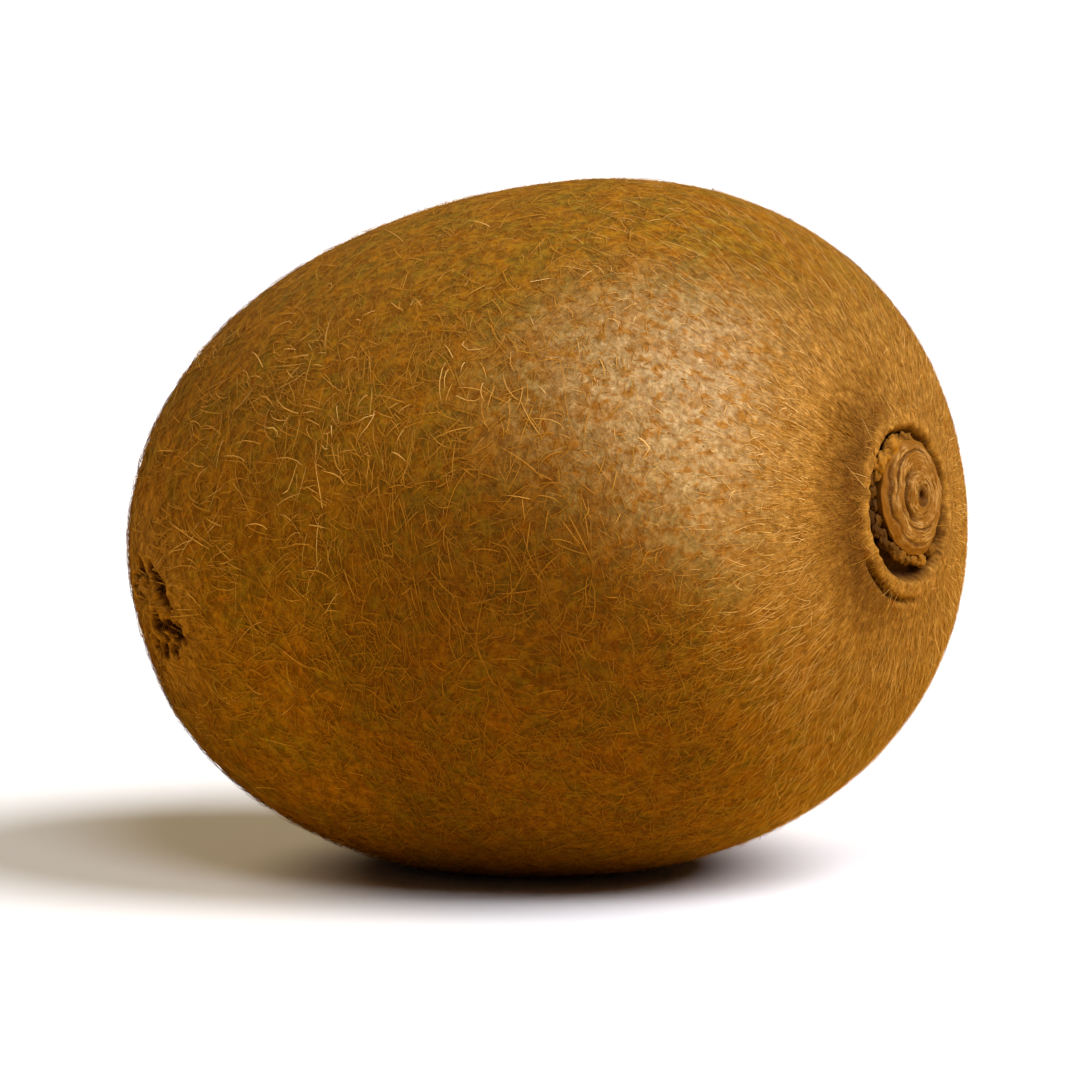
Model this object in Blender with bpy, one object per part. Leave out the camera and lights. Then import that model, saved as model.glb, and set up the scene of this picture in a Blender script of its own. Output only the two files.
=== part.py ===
"""A whole kiwi fruit, lying on the small flat spot that it rests on.

The fruit grew as one piece, so it is one closed solid: a blunt, slightly tapered
ellipsoid that is a little wider than it is high. Its stem scar is a woody disc that
stands in a round trench, inside a raised collar. Its blossom scar is a low tuft in a
round pit. Both scars lean towards -Y, so the fruit is faintly bent, as many are.

Metres, +Z up. The origin is the middle of the flat spot, +X is the stem end.
"""

import math

import bmesh
import bpy
from mathutils import Matrix, Vector

OBJECT_NAME = "kiwi_fruit"

# The body: half its length, width and height before the taper, and its form.
HALF_LENGTH = 0.0321
HALF_WIDTH = 0.0275
HALF_HEIGHT = 0.0264
BLUNTNESS = 2.13  # 2 is an ellipsoid, and more is squarer
TAPER = 0.088  # share of its reach that the stem end loses and the blossom end gains
STEM_UP = math.radians(9.8)

# How far each scar leans from the long axis towards -Y, and the roll of the stem
# scar's lean about that axis, which puts the scar slightly low.
STEM_LEAN = math.radians(19.3)
STEM_ROLL = math.radians(-4)
BLOSSOM_LEAN = math.radians(23)

# The flat spot is this deep a slice off the lowest point.
FLAT_DEPTH = 0.0005

# Outlines across the two scars: (distance from the scar's middle, height above plain skin).
STEM_OUTLINE = [
    (0.0000, -0.0001),  # pith hollow
    (0.0008, 0.0002),  # woody disc
    (0.0024, 0.0003),
    (0.0039, 0.0002),
    (0.0046, -0.0001),
    (0.0048, -0.0008),  # trench
    (0.0051, -0.0008),
    (0.0055, -0.0001),  # collar
    (0.0060, 0.0002),
    (0.0066, 0.0001),
    (0.0074, -0.0004),  # furrow round the collar
    (0.0090, -0.0003),
    (0.0115, -0.0001),
    (0.0140, 0.0000),
]
BLOSSOM_OUTLINE = [
    (0.0000, 0.0006),  # tuft
    (0.0012, 0.0005),
    (0.0021, 0.0002),
    (0.0026, -0.0006),  # pit
    (0.0032, -0.0007),
    (0.0037, 0.0000),  # rim
    (0.0045, 0.0002),
    (0.0060, 0.0000),
]

# The fruit is cut slightly back below its blossom scar: the turn of the surface there,
# how far from the scar's middle that reaches, and the share that is lost all round it.
SLANT_TURN = math.radians(5)
SLANT_REACH = 0.012
SLANT_SINK = 0.6

# The mesh: lines of longitude, and rings between the two outlines.
MERIDIANS = 64
PLAIN_RINGS = 24
SHARP_EDGE = math.radians(40)

SKIN_COLOR = (0.29, 0.14, 0.03, 1.0)
SKIN_ROUGHNESS = 0.6


def clear_scene():
    for obj in list(bpy.data.objects):
        bpy.data.objects.remove(obj, do_unlink=True)


def body_reach(direction):
    """Distance from the body's centre to plain skin along a unit direction."""
    x, y, z = direction
    across = math.hypot(y / HALF_WIDTH, z / HALF_HEIGHT)
    plain = (abs(x / HALF_LENGTH) ** BLUNTNESS + across**BLUNTNESS) ** (-1 / BLUNTNESS)
    return plain * (1 - TAPER * x**3)


def scar_reach(end, lean):
    """Distance from the body's centre to a scar, where end is 1 for the stem's and -1 for the other."""
    return body_reach((end * math.cos(lean), -math.sin(lean), 0.0))


def lean_at(along):
    """The turn towards -Y where the cosine of the polar angle is along.

    It is the whole lean around each scar, and fades to nothing between them.
    """
    whole = -STEM_LEAN if along > 0 else BLOSSOM_LEAN
    roll = STEM_ROLL if along > 0 else 0.0
    axis = Vector((0, math.sin(roll), math.cos(roll)))
    return Matrix.Rotation(whole * along**2 * (2 - along**2), 3, axis)


def blossom_slant(distance, below):
    """Height lost where the fruit is cut back, with below 1 straight under the scar."""
    if distance > SLANT_REACH:
        return 0.0
    fade = (1 - (distance / SLANT_REACH) ** 2) ** 2
    return -math.tan(SLANT_TURN) * distance * (below + SLANT_SINK) * fade


def ring_places():
    """Polar angle from the stem scar, and height above plain skin, for each ring."""
    stem_reach = scar_reach(1, STEM_LEAN)
    blossom_reach = scar_reach(-1, BLOSSOM_LEAN)
    near_stem = [(distance / stem_reach, height) for distance, height in STEM_OUTLINE]
    near_blossom = [
        (math.pi - distance / blossom_reach, height)
        for distance, height in reversed(BLOSSOM_OUTLINE)
    ]
    first = near_stem[-1][0]
    step = (near_blossom[0][0] - first) / (PLAIN_RINGS + 1)
    between = [(first + step * (count + 1), 0.0) for count in range(PLAIN_RINGS)]
    return near_stem + between + near_blossom


def skin_point(polar, around, height):
    """A point of the skin about the body's centre, before the stem end is turned up."""
    direction = Vector((
        math.cos(polar),
        math.sin(polar) * math.cos(around),
        math.sin(polar) * math.sin(around),
    ))
    direction.rotate(lean_at(math.cos(polar)))
    from_blossom = (math.pi - polar) * scar_reach(-1, BLOSSOM_LEAN)
    height += blossom_slant(from_blossom, -math.sin(around))
    return direction * (body_reach(direction) + height)


def shape_skin(mesh_edit):
    """Makes a sphere with its poles on Z, and moves its points to the skin."""
    places = ring_places()
    rings = len(places) - 1
    bmesh.ops.create_uvsphere(mesh_edit, u_segments=MERIDIANS, v_segments=rings, radius=1.0)
    for vert in mesh_edit.verts:
        ring = round(math.acos(max(-1.0, min(1.0, vert.co.z))) / math.pi * rings)
        polar, height = places[ring]
        vert.co = skin_point(polar, math.atan2(vert.co.y, vert.co.x), height)
    bmesh.ops.rotate(mesh_edit, verts=mesh_edit.verts, matrix=Matrix.Rotation(-STEM_UP, 3, "Y"))


def cut_flat_spot(mesh_edit):
    """Slices the lowest point off, and puts the origin in the middle of the cut."""
    lowest = min(vert.co.z for vert in mesh_edit.verts)
    cut = bmesh.ops.bisect_plane(
        mesh_edit,
        geom=mesh_edit.verts[:] + mesh_edit.edges[:] + mesh_edit.faces[:],
        plane_co=(0, 0, lowest + FLAT_DEPTH),
        plane_no=(0, 0, -1),
        clear_outer=True,
    )
    rim = [item for item in cut["geom_cut"] if isinstance(item, bmesh.types.BMEdge)]
    flat = bmesh.ops.contextual_create(mesh_edit, geom=rim)["faces"][0]
    bmesh.ops.translate(mesh_edit, verts=mesh_edit.verts, vec=-flat.calc_center_median_weighted())
    for vert in flat.verts:
        vert.co.z = 0.0


def skin_material():
    material = bpy.data.materials.new("kiwi_skin")
    material.use_nodes = True
    surface = material.node_tree.nodes["Principled BSDF"]
    surface.inputs["Base Color"].default_value = SKIN_COLOR
    surface.inputs["Roughness"].default_value = SKIN_ROUGHNESS
    surface.inputs["Metallic"].default_value = 0.0
    return material


def make_fruit(collection):
    mesh_edit = bmesh.new()
    shape_skin(mesh_edit)
    cut_flat_spot(mesh_edit)
    bmesh.ops.recalc_face_normals(mesh_edit, faces=mesh_edit.faces)
    mesh = bpy.data.meshes.new(OBJECT_NAME)
    mesh_edit.to_mesh(mesh)
    mesh_edit.free()
    mesh.shade_smooth()
    mesh.set_sharp_from_angle(angle=SHARP_EDGE)
    mesh.materials.append(skin_material())
    fruit = bpy.data.objects.new(OBJECT_NAME, mesh)
    collection.objects.link(fruit)


def main():
    clear_scene()
    collection = bpy.data.collections.new("kiwi")
    bpy.context.scene.collection.children.link(collection)
    make_fruit(collection)


main()
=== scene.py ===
# %% [markdown]
# # A kiwi fruit, from its skin to its fuzz
#
# The fruit is one closed body under a coat of hairs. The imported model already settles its
# size, its outline and how it lies, so this lesson only gives it a surface: a fine skin with
# both scars, a woody disc, a few dried stubs, and tens of thousands of modelled hairs.
# Everything is in metres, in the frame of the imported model: +X is the stem end, +Z is up.

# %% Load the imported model
import math

import bmesh
import bpy
import numpy as np
from mathutils import Matrix, Vector, noise


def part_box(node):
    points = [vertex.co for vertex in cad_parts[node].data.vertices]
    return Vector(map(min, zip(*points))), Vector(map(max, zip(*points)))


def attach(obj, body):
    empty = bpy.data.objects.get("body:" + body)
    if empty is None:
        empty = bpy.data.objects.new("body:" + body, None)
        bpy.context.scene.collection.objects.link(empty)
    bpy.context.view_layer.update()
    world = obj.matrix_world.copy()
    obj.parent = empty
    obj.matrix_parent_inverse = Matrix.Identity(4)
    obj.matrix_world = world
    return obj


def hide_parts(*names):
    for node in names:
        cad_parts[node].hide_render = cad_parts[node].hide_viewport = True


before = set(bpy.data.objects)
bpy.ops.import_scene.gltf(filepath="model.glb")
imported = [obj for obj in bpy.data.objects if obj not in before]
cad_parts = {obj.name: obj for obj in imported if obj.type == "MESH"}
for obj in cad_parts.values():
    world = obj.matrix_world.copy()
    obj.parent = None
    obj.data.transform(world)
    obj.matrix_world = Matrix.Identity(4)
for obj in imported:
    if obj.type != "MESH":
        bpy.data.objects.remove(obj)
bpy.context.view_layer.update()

MM = 0.001

# %% [markdown]
# ## The form of the body
#
# A kiwi is a blunt ellipsoid, a little wider than high, thinner towards the stem. One formula
# gives the distance from the middle to the skin in any direction. A formula is handy here,
# because the skin and every hair on it can ask for the same surface. Each scar leans towards
# -Y, so directions near an end are turned before the formula is asked.

# %% Driving sizes of the body
HALF_LENGTH = 32.1 * MM
HALF_WIDTH = 27.5 * MM
HALF_HEIGHT = 26.4 * MM
BLUNTNESS = 2.13
TAPER = 0.088
STEM_UP = math.radians(9.8)
STEM_LEAN = math.radians(19.3)
STEM_ROLL = math.radians(-4)
BLOSSOM_LEAN = math.radians(23)
SLANT_TURN = math.radians(5)
SLANT_REACH = 12 * MM
SLANT_SINK = 0.6
halves = (HALF_LENGTH, HALF_WIDTH, HALF_HEIGHT)
print("body before its taper, in mm:", " x ".join(f"{2 * half / MM:.1f}" for half in halves))

# %% [markdown]
# Numpy answers for a whole array of directions at once. That is what makes it quick to place
# tens of thousands of hairs.

# %% Distance from the middle to plain skin
def unit(vectors):
    return vectors / np.linalg.norm(vectors, axis=-1, keepdims=True)


def body_reach(directions):
    x, y, z = np.moveaxis(directions, -1, 0)
    across = np.hypot(y / HALF_WIDTH, z / HALF_HEIGHT)
    plain = (np.abs(x / HALF_LENGTH) ** BLUNTNESS + across**BLUNTNESS) ** (-1 / BLUNTNESS)
    return plain * (1 - TAPER * x**3)


def turned(vectors, axis, angle):
    """Vectors turned about a unit axis, by Rodrigues' formula."""
    angle = angle[..., None]
    along_axis = (vectors * axis).sum(-1, keepdims=True) * axis
    return (
        vectors * np.cos(angle)
        + np.cross(axis, vectors) * np.sin(angle)
        + along_axis * (1 - np.cos(angle))
    )


def leaned(directions):
    """Turns the directions near each end towards -Y, so that the poles land on the scars."""
    along = directions[..., 0]
    whole = np.where(along > 0, -STEM_LEAN, BLOSSOM_LEAN)
    roll = np.where(along > 0, STEM_ROLL, 0.0)
    axis = np.stack([0 * roll, np.sin(roll), np.cos(roll)], -1)
    return turned(directions, axis, whole * along**2 * (2 - along**2))


def end_reach(end):
    """Distance from the middle to a scar, where end is 1 at the stem and -1 at the blossom."""
    return float(body_reach(leaned(np.array([[end, 0.0, 0.0]])))[0])


STEM_REACH = end_reach(1)
BLOSSOM_REACH = end_reach(-1)
print(f"middle to stem scar {STEM_REACH / MM:.2f} mm, to blossom scar {BLOSSOM_REACH / MM:.2f} mm")


# %% [markdown]
# Places on the fruit are given as on a globe that lies on its side: an angle from the stem scar,
# and a turn around the long axis. Both scars are poles of that globe, so distances from them are
# easy to ask for.

# %% Places on the fruit
def from_polar(polar, around):
    """Unit directions: polar is the angle from the stem scar, and around turns from +Y to +Z."""
    return np.stack(
        [np.cos(polar), np.sin(polar) * np.cos(around), np.sin(polar) * np.sin(around)], -1
    )


def polar_of(directions):
    return np.arctan2(np.hypot(directions[..., 1], directions[..., 2]), directions[..., 0])


def around_of(directions):
    return np.arctan2(directions[..., 2], directions[..., 1]) % math.tau


def from_stem(directions):
    """Distance along the skin from the middle of the stem scar."""
    return polar_of(directions) * STEM_REACH


def from_blossom(directions):
    return (math.pi - polar_of(directions)) * BLOSSOM_REACH


halfway = from_polar(np.array([math.pi / 2]), np.zeros(1))
print(f"halfway between the scars is {from_stem(halfway)[0] / MM:.1f} mm from the stem scar")

# %% [markdown]
# The last step to a point of the skin: the fruit is cut slightly back below its blossom scar,
# and its stem end is turned up.

# %% Points over plain skin
def plain_points(directions, height):
    """Points at a height above plain skin, about the body's middle."""
    distance = from_blossom(directions)
    fade = np.clip(1 - (distance / SLANT_REACH) ** 2, 0, 1) ** 2
    below = -np.sin(around_of(directions)) + SLANT_SINK
    height = height - math.tan(SLANT_TURN) * distance * below * fade
    way = leaned(directions)
    x, y, z = np.moveaxis(way * (body_reach(way) + height)[..., None], -1, 0)
    up, along = math.sin(STEM_UP), math.cos(STEM_UP)
    return np.stack([x * along - z * up, y, x * up + z * along], -1)


print("halfway point in mm:", np.round(plain_points(halfway, 0)[0] / MM, 1))

# %% [markdown]
# ## Where the middle of the body lies
#
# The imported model's origin is the flat spot that the fruit rests on. The formula works from the
# middle of the body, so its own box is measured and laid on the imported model's box. Both are
# highest at the same place, and only the bottom differs, where the flat spot is cut.

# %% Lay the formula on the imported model's box
GRID_POLARS, GRID_TURNS = 361, 720

low, high = (np.array(corner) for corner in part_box("kiwi_fruit"))
grid_polar, grid_around = np.meshgrid(
    np.linspace(0, math.pi, GRID_POLARS),
    np.linspace(0, math.tau, GRID_TURNS, endpoint=False),
)
shell = plain_points(from_polar(grid_polar, grid_around), 0 * grid_polar).reshape(-1, 3)
MIDDLE = (low + high) / 2 - (shell.min(0) + shell.max(0)) / 2
MIDDLE[2] = high[2] - shell[:, 2].max()
print("middle of the body in mm:", np.round(MIDDLE / MM, 2))


def skin_points(directions, height):
    return plain_points(directions, height) + MIDDLE


# %% [markdown]
# ## The camera
#
# A long lens from a little above the table, turned 12 degrees from the fruit's side towards the
# stem end. It aims slightly left of the middle, so that the whole fruit sits in the frame.

# %% Camera
VIEW_AZIMUTH = math.radians(12)
VIEW_ELEVATION = math.radians(8)
CAMERA_DISTANCE = 0.84
FRAME_WIDTH = 82.44 * MM  # what the frame takes in at the fruit
SENSOR_WIDTH = 36.0
AIM_LEFT = 3.168 * MM
AIM_DOWN = 0.931 * MM

back = Vector((
    math.sin(VIEW_AZIMUTH) * math.cos(VIEW_ELEVATION),
    -math.cos(VIEW_AZIMUTH) * math.cos(VIEW_ELEVATION),
    math.sin(VIEW_ELEVATION),
))
right = Vector((math.cos(VIEW_AZIMUTH), math.sin(VIEW_AZIMUTH), 0.0))
above = back.cross(right)

camera_data = bpy.data.cameras.new("camera")
camera_data.sensor_width = SENSOR_WIDTH
camera_data.lens = SENSOR_WIDTH * CAMERA_DISTANCE / FRAME_WIDTH
camera_data.clip_start = 0.01
camera = bpy.data.objects.new("camera", camera_data)
camera.location = Vector(MIDDLE) - right * AIM_LEFT - above * AIM_DOWN + back * CAMERA_DISTANCE
camera.rotation_mode = "QUATERNION"
camera.rotation_quaternion = back.to_track_quat("Z", "Y")
bpy.context.scene.collection.objects.link(camera)
bpy.context.scene.camera = camera
print(f"lens {camera_data.lens:.1f} mm")

# %% [markdown]
# ## The two scars
#
# The stem left a woody disc in a round trench, inside a raised, fuzzy collar. The flower left a
# low tuft in a ragged pit. A scar is drawn as an outline from its middle outwards, listing only
# crests and hollows. The curve eases from each to the next, so there are no creases.

# %% Outlines across the scars, in mm: distance from the middle, height above plain skin
STEM_OUTLINE = [(0, -1.0), (4.95, -1.40), (5.95, 0.14), (8.8, -0.14), (13.5, 0)]
BLOSSOM_OUTLINE = [(0, 0.35), (1.5, 0.32), (2.9, -0.12), (4.4, 0.14), (6.2, 0)]


def swell(value, low, high):
    """0 below low, 1 above high, and a smooth rise between them."""
    share = np.clip((value - low) / (high - low), 0, 1)
    return share * share * (3 - 2 * share)


def eased(distance, outline):
    """Heights along an outline, level at each of its points."""
    places, heights = (np.array(column, float) * MM for column in zip(*outline))
    span = np.clip(np.searchsorted(places, distance) - 1, 0, len(places) - 2)
    share = swell(distance, places[span], places[span + 1])
    return heights[span] + (heights[span + 1] - heights[span]) * share


print("the trench is deepest at", STEM_OUTLINE[1][0], "mm, the collar stands at", STEM_OUTLINE[2][0])

# %% [markdown]
# Real scars are uneven. A sum of waves round a scar gives an uneven ring, and a sum of waves in
# many directions gives an uneven sheet. Both start from a seed, so every run makes the same ones.

# %% Uneven rings and sheets
RING_SCALE = 2.4
SHEET_WAVES, SHEET_SCALE = 18, 3


def waves(around, seed, strongest=9):
    """An uneven ring: a few waves round a scar, from about -1 to 1."""
    random = np.random.default_rng(seed)
    total = np.zeros_like(around)
    for count in range(1, strongest + 1):
        total += np.cos(count * around + random.uniform(0, math.tau)) / count**0.6
    return total / RING_SCALE


def lumpy(across, up, size, seed):
    """An uneven sheet, about -2 to 2, with lumps of about a size."""
    random = np.random.default_rng(seed)
    total = np.zeros_like(across)
    for _ in range(SHEET_WAVES):
        way = random.uniform(0, math.tau)
        pitch = random.uniform(0.55, 1.5) * math.pi / size
        ramp = across * math.cos(way) + up * math.sin(way)
        total += np.cos(pitch * ramp + random.uniform(0, math.tau))
    return total / SHEET_SCALE


def across_scar(directions, distance):
    """Flat places round a scar: towards the near side, and up."""
    around = around_of(directions)
    return -np.cos(around) * distance, np.sin(around) * distance


ring_sample = waves(np.linspace(0, math.tau, 90), 3)
print(f"an uneven ring runs from {ring_sample.min():.2f} to {ring_sample.max():.2f}")

# %% [markdown]
# Round the blossom scar the skin sank into ragged pits where the petals and sepals were. Each
# pit is an oval with a ragged edge, listed one by one, because there are few and each has a place.

# %% Pits round the blossom scar
# in degrees and mm: turn from up towards the near side, distance from the middle, half sizes
# round the scar and across it, and depth
BLOSSOM_PITS = [
    (348, 3.15, 0.62, 0.90, 0.8),
    (8, 1.10, 0.50, 0.40, 0.3),
    (38, 3.45, 1.10, 0.62, 0.9),
    (62, 3.35, 1.10, 0.85, 1.0),
    (84, 3.60, 0.80, 0.60, 0.9),
    (124, 1.60, 0.80, 0.55, 0.8),
    (115, 3.60, 0.85, 1.65, 1.0),
    (141, 4.05, 0.70, 0.62, 0.9),
    (176, 3.30, 0.95, 0.60, 0.8),
    (214, 3.10, 0.80, 0.70, 0.9),
    (256, 3.40, 1.10, 0.55, 0.8),
    (301, 3.20, 1.05, 0.60, 0.9),
]
PIT_RAG = ((0.15, 0.7, 51), (0.07, 0.3, 52))  # how ragged, size of the rags in mm, seed


def blossom_pits(directions):
    """Depth of the ragged pits, and how much of a place is pit, from 0 to 1."""
    near, up = across_scar(directions, from_blossom(directions))
    rag = sum(share * lumpy(near, up, size * MM, seed) for share, size, seed in PIT_RAG)
    depth, share = np.zeros_like(near), np.zeros_like(near)
    for turn, distance, along, wide, deep in BLOSSOM_PITS:
        turn = math.radians(turn)
        out = near * math.sin(turn) + up * math.cos(turn) - distance * MM
        sideways = near * math.cos(turn) - up * math.sin(turn)
        inside = 1 - np.hypot(sideways / (along * MM), out / (wide * MM)) + rag
        depth = np.maximum(depth, deep * MM * swell(inside, -0.35, 0.60))
        share = np.maximum(share, swell(inside, -0.42, 0.35))
    return depth, share


print("pits round the blossom scar:", len(BLOSSOM_PITS))

# %% [markdown]
# The trench isn't a true circle: it wanders, and it is wider on the far side and low down. Its
# outline is read at a shifted distance, which bends the whole scar. Outside the collar, on the
# low near side, the skin has folded into a narrow furrow.

# %% The stem scar's uneven ring and its furrow
RING_WANDER = 0.14 * MM
FAR_SHIFT = 0.45 * MM
LOW_SHIFT = 0.35 * MM
LOW_SIDE = math.radians(238)
FURROW_PLACE = 7.1 * MM
FURROW_WIDTH = 0.22 * MM
FURROW_DEPTH = 0.50 * MM
FURROW_SIDE = math.radians(236)


def stem_place(directions):
    """Distance from the stem scar, as its outline takes it."""
    around = around_of(directions)
    stem = from_stem(directions)
    shift = RING_WANDER * waves(around, 3) - FAR_SHIFT * swell(np.cos(around), 0.0, 0.9)
    shift -= LOW_SHIFT * swell(np.cos(around - LOW_SIDE), 0.3, 0.9)
    return stem + shift * swell(stem, 3 * MM, 6 * MM)


def furrow(directions):
    """1 in the narrow fold outside the collar, which runs round its lower near side."""
    fold = np.exp(-(((stem_place(directions) - FURROW_PLACE) / FURROW_WIDTH) ** 2))
    return fold * swell(np.cos(around_of(directions) - FURROW_SIDE), 0.78, 0.97)


print(f"furrow {FURROW_DEPTH / MM:.2f} mm deep, {FURROW_PLACE / MM:.1f} mm from the scar's middle")

# %% [markdown]
# One function adds it all up: the height of the skin above the plain body. The trench's wall and
# the blossom scar are lumpy too. The hairs use the same function, so they stand on this skin.

# %% Height of the skin above the plain body
WALL_PLACE = 5.5 * MM
WALL_LUMPS = 0.10 * MM
RUFFLE = 0.05 * MM
BLOSSOM_EDGE = 7 * MM  # nothing of the blossom scar lies further out


def scar_relief(directions):
    stem = stem_place(directions)
    blossom = from_blossom(directions)
    near, up = across_scar(directions, stem)
    height = eased(stem, STEM_OUTLINE)
    wall = swell(-np.abs(stem - WALL_PLACE), -0.9 * MM, -0.2 * MM)
    height += WALL_LUMPS * lumpy(near, up, 0.5 * MM, 4) * wall
    height -= FURROW_DEPTH * furrow(directions)
    height += eased(blossom, BLOSSOM_OUTLINE)
    close = np.flatnonzero(blossom < BLOSSOM_EDGE)
    if len(close):
        flat = directions[close]
        ruffle = RUFFLE * lumpy(*across_scar(flat, blossom[close]), 0.7 * MM, 6)
        height[close] += ruffle * swell(-blossom[close], -6 * MM, -4 * MM) - blossom_pits(flat)[0]
    return height


scar_middles = from_polar(np.array([0, math.pi]), np.zeros(2))
print("height at the two scars' middles in mm:", np.round(scar_relief(scar_middles) / MM, 2))

# %% [markdown]
# ## The skin
#
# The skin could be a subdivided cube or a sphere. A sphere with rings is handier here, because
# its rings can be crowded round both poles, where the scars need fine faces, and spread out
# between them. The ring numbers stay the same, and only their places change.

# %% Rings of the skin mesh
SEGMENTS = 256
STEM_RINGS, STEM_SPAN = 64, 11 * MM
PLAIN_RINGS = 108
BLOSSOM_RINGS, BLOSSOM_SPAN = 48, 6.5 * MM


def ring_polars():
    stem = np.linspace(0, STEM_SPAN / STEM_REACH, STEM_RINGS + 1)
    blossom = np.linspace(math.pi - BLOSSOM_SPAN / BLOSSOM_REACH, math.pi, BLOSSOM_RINGS + 1)
    plain = np.linspace(stem[-1], blossom[0], PLAIN_RINGS + 2)[1:-1]
    return np.concatenate([stem, plain, blossom])


RING_POLARS = ring_polars()
RINGS = len(RING_POLARS) - 1
print(f"{RINGS} rings of {SEGMENTS} faces")

# %% [markdown]
# Meshes with many points are quickest to read and write as whole arrays.

# %% Helpers that read and write a whole mesh at once
def mesh_from(mesh_edit, name):
    mesh = bpy.data.meshes.new(name)
    mesh_edit.to_mesh(mesh)
    mesh_edit.free()
    return mesh


def points_of(mesh):
    points = np.empty(len(mesh.vertices) * 3)
    mesh.vertices.foreach_get("co", points)
    return points.reshape(-1, 3)


def set_points(mesh, points):
    mesh.vertices.foreach_set("co", np.ascontiguousarray(points, np.float32).ravel())
    mesh.update()


def set_values(mesh, name, values):
    layer = mesh.attributes.new(name, "FLOAT", "POINT")
    layer.data.foreach_set("value", np.ascontiguousarray(values, np.float32).ravel())


print("mesh helpers: read points, set points, store values")

# %% [markdown]
# A finished piece is a mesh with its material in it. It rides on the fruit's one body.

# %% Finished pieces
BODY = "root"


def add_object(name, mesh, material):
    mesh.materials.append(material)
    made = bpy.data.objects.new(name, mesh)
    bpy.context.scene.collection.objects.link(made)
    return made


def add_piece(name, mesh, material, smooth=True):
    """A finished piece: shaded, with its finish, riding on the fruit's body."""
    if smooth:
        mesh.shade_smooth()
    piece = add_object(name, mesh, material)
    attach(piece, BODY)
    mesh.calc_loop_triangles()
    print(f"{name}: {len(mesh.loop_triangles)} triangles")
    return piece


print("pieces ride on", BODY)

# %% [markdown]
# Each point of the sphere knows its ring and its place round the ring. It is sent to that place
# on the skin. Points that come out below the table are laid on it, which makes the same flat
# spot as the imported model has.

# %% Make the skin mesh
def make_skin_mesh():
    mesh_edit = bmesh.new()
    bmesh.ops.create_uvsphere(mesh_edit, u_segments=SEGMENTS, v_segments=RINGS, radius=1.0)
    mesh = mesh_from(mesh_edit, "kiwi_skin")
    x, y, z = points_of(mesh).T
    ring = np.rint(np.arctan2(np.hypot(x, y), z) / math.pi * RINGS).astype(int)
    segment = np.rint(np.arctan2(y, x) % math.tau / math.tau * SEGMENTS).astype(int) % SEGMENTS
    directions = from_polar(RING_POLARS[ring], segment / SEGMENTS * math.tau)
    points = skin_points(directions, scar_relief(directions))
    points[:, 2] = np.maximum(points[:, 2], 0)
    set_points(mesh, points)
    return mesh, ring, segment, directions


skin_mesh, skin_ring, skin_segment, skin_directions = make_skin_mesh()
print("skin points:", len(skin_mesh.vertices))

# %% [markdown]
# A map lets a pattern follow the surface. The turn around the fruit runs across this one, and
# the rings run up it. The cut between its two ends lies along the back. At the poles, where all
# the turns meet, each triangle gets its own middle.

# %% Lay the skin on its map
MAP_NAME = "OFBake"


def read_numbers(items, name):
    numbers = np.empty(len(items), int)
    items.foreach_get(name, numbers)
    return numbers


def map_skin(mesh, ring, segment):
    corners = read_numbers(mesh.loops, "vertex_index")
    sizes = read_numbers(mesh.polygons, "loop_total")
    face = np.repeat(np.arange(len(sizes)), sizes)
    across = segment[corners].astype(float)
    up = RING_POLARS[ring[corners]] / math.pi
    at_pole = (ring[corners] == 0) | (ring[corners] == RINGS)
    widest = np.zeros(len(sizes))
    np.maximum.at(widest, face, np.where(at_pole, 0, across))
    wraps = (widest[face] == SEGMENTS - 1) & (across == 0) & ~at_pole
    across[wraps] = SEGMENTS
    lowest = np.full(len(sizes), float(SEGMENTS))
    np.minimum.at(lowest, face, np.where(at_pole, SEGMENTS, across))
    across[at_pole] = lowest[face[at_pole]] + 0.5
    layer = mesh.uv_layers.new(name=MAP_NAME)
    layer.data.foreach_set("uv", np.stack([across / SEGMENTS, up], -1).ravel())
    return int(wraps.sum())


print("corners laid past the cut:", map_skin(skin_mesh, skin_ring, skin_segment))

# %% [markdown]
# ## Shared finish effects
#
# A material is a tree of nodes. These helpers add one node or one small step at a time, and
# take either a value or another node's socket, so a material can be read from top to bottom.

# %% Helpers for node trees
def new_material(name):
    material = bpy.data.materials.new(name)
    material.use_nodes = True
    return material, material.node_tree


def feed(tree, socket, value):
    """Joins a socket to another one, or sets it to a value."""
    if isinstance(value, bpy.types.NodeSocket):
        tree.links.new(value, socket)
    else:
        socket.default_value = value


def add_node(tree, kind, inputs=(), **settings):
    """A node with its settings, and its inputs set or joined."""
    node = tree.nodes.new(kind)
    for key, value in settings.items():
        setattr(node, key, value)
    for key, value in dict(inputs).items():
        feed(tree, node.inputs[key], value)
    return node


def calculate(tree, operation, first, *others):
    """Works through its values from left to right, with one Math node for each step."""
    for other in others or (0.0,):
        step = add_node(tree, "ShaderNodeMath", {0: first, 1: other}, operation=operation)
        first = step.outputs[0]
    return first


def blend_colors(tree, share, first, second, mode="MIX"):
    inputs = {0: share, 6: first, 7: second}
    return add_node(tree, "ShaderNodeMix", inputs, data_type="RGBA", blend_type=mode).outputs[2]


def between(tree, value, low, high, to_low=0.0, to_high=1.0):
    """Value mapped smoothly from low..high to to_low..to_high, and held outside."""
    inputs = {"Value": value, 1: low, 2: high, 3: to_low, 4: to_high}
    return add_node(tree, "ShaderNodeMapRange", inputs, interpolation_type="SMOOTHSTEP").outputs[0]


print("node helpers: new material, add a node, calculate, blend, map")

# %% [markdown]
# Patterns read the object's own coordinates, in millimetres, which keeps them fixed to the
# fruit. Values that were stored on the points of a mesh are read back by name. The last helper
# joins a finish to the surface; its gloss and its bump's depth are the same all over.

# %% Helpers for patterns and finishes
PER_METRE = 1 / MM


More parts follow.
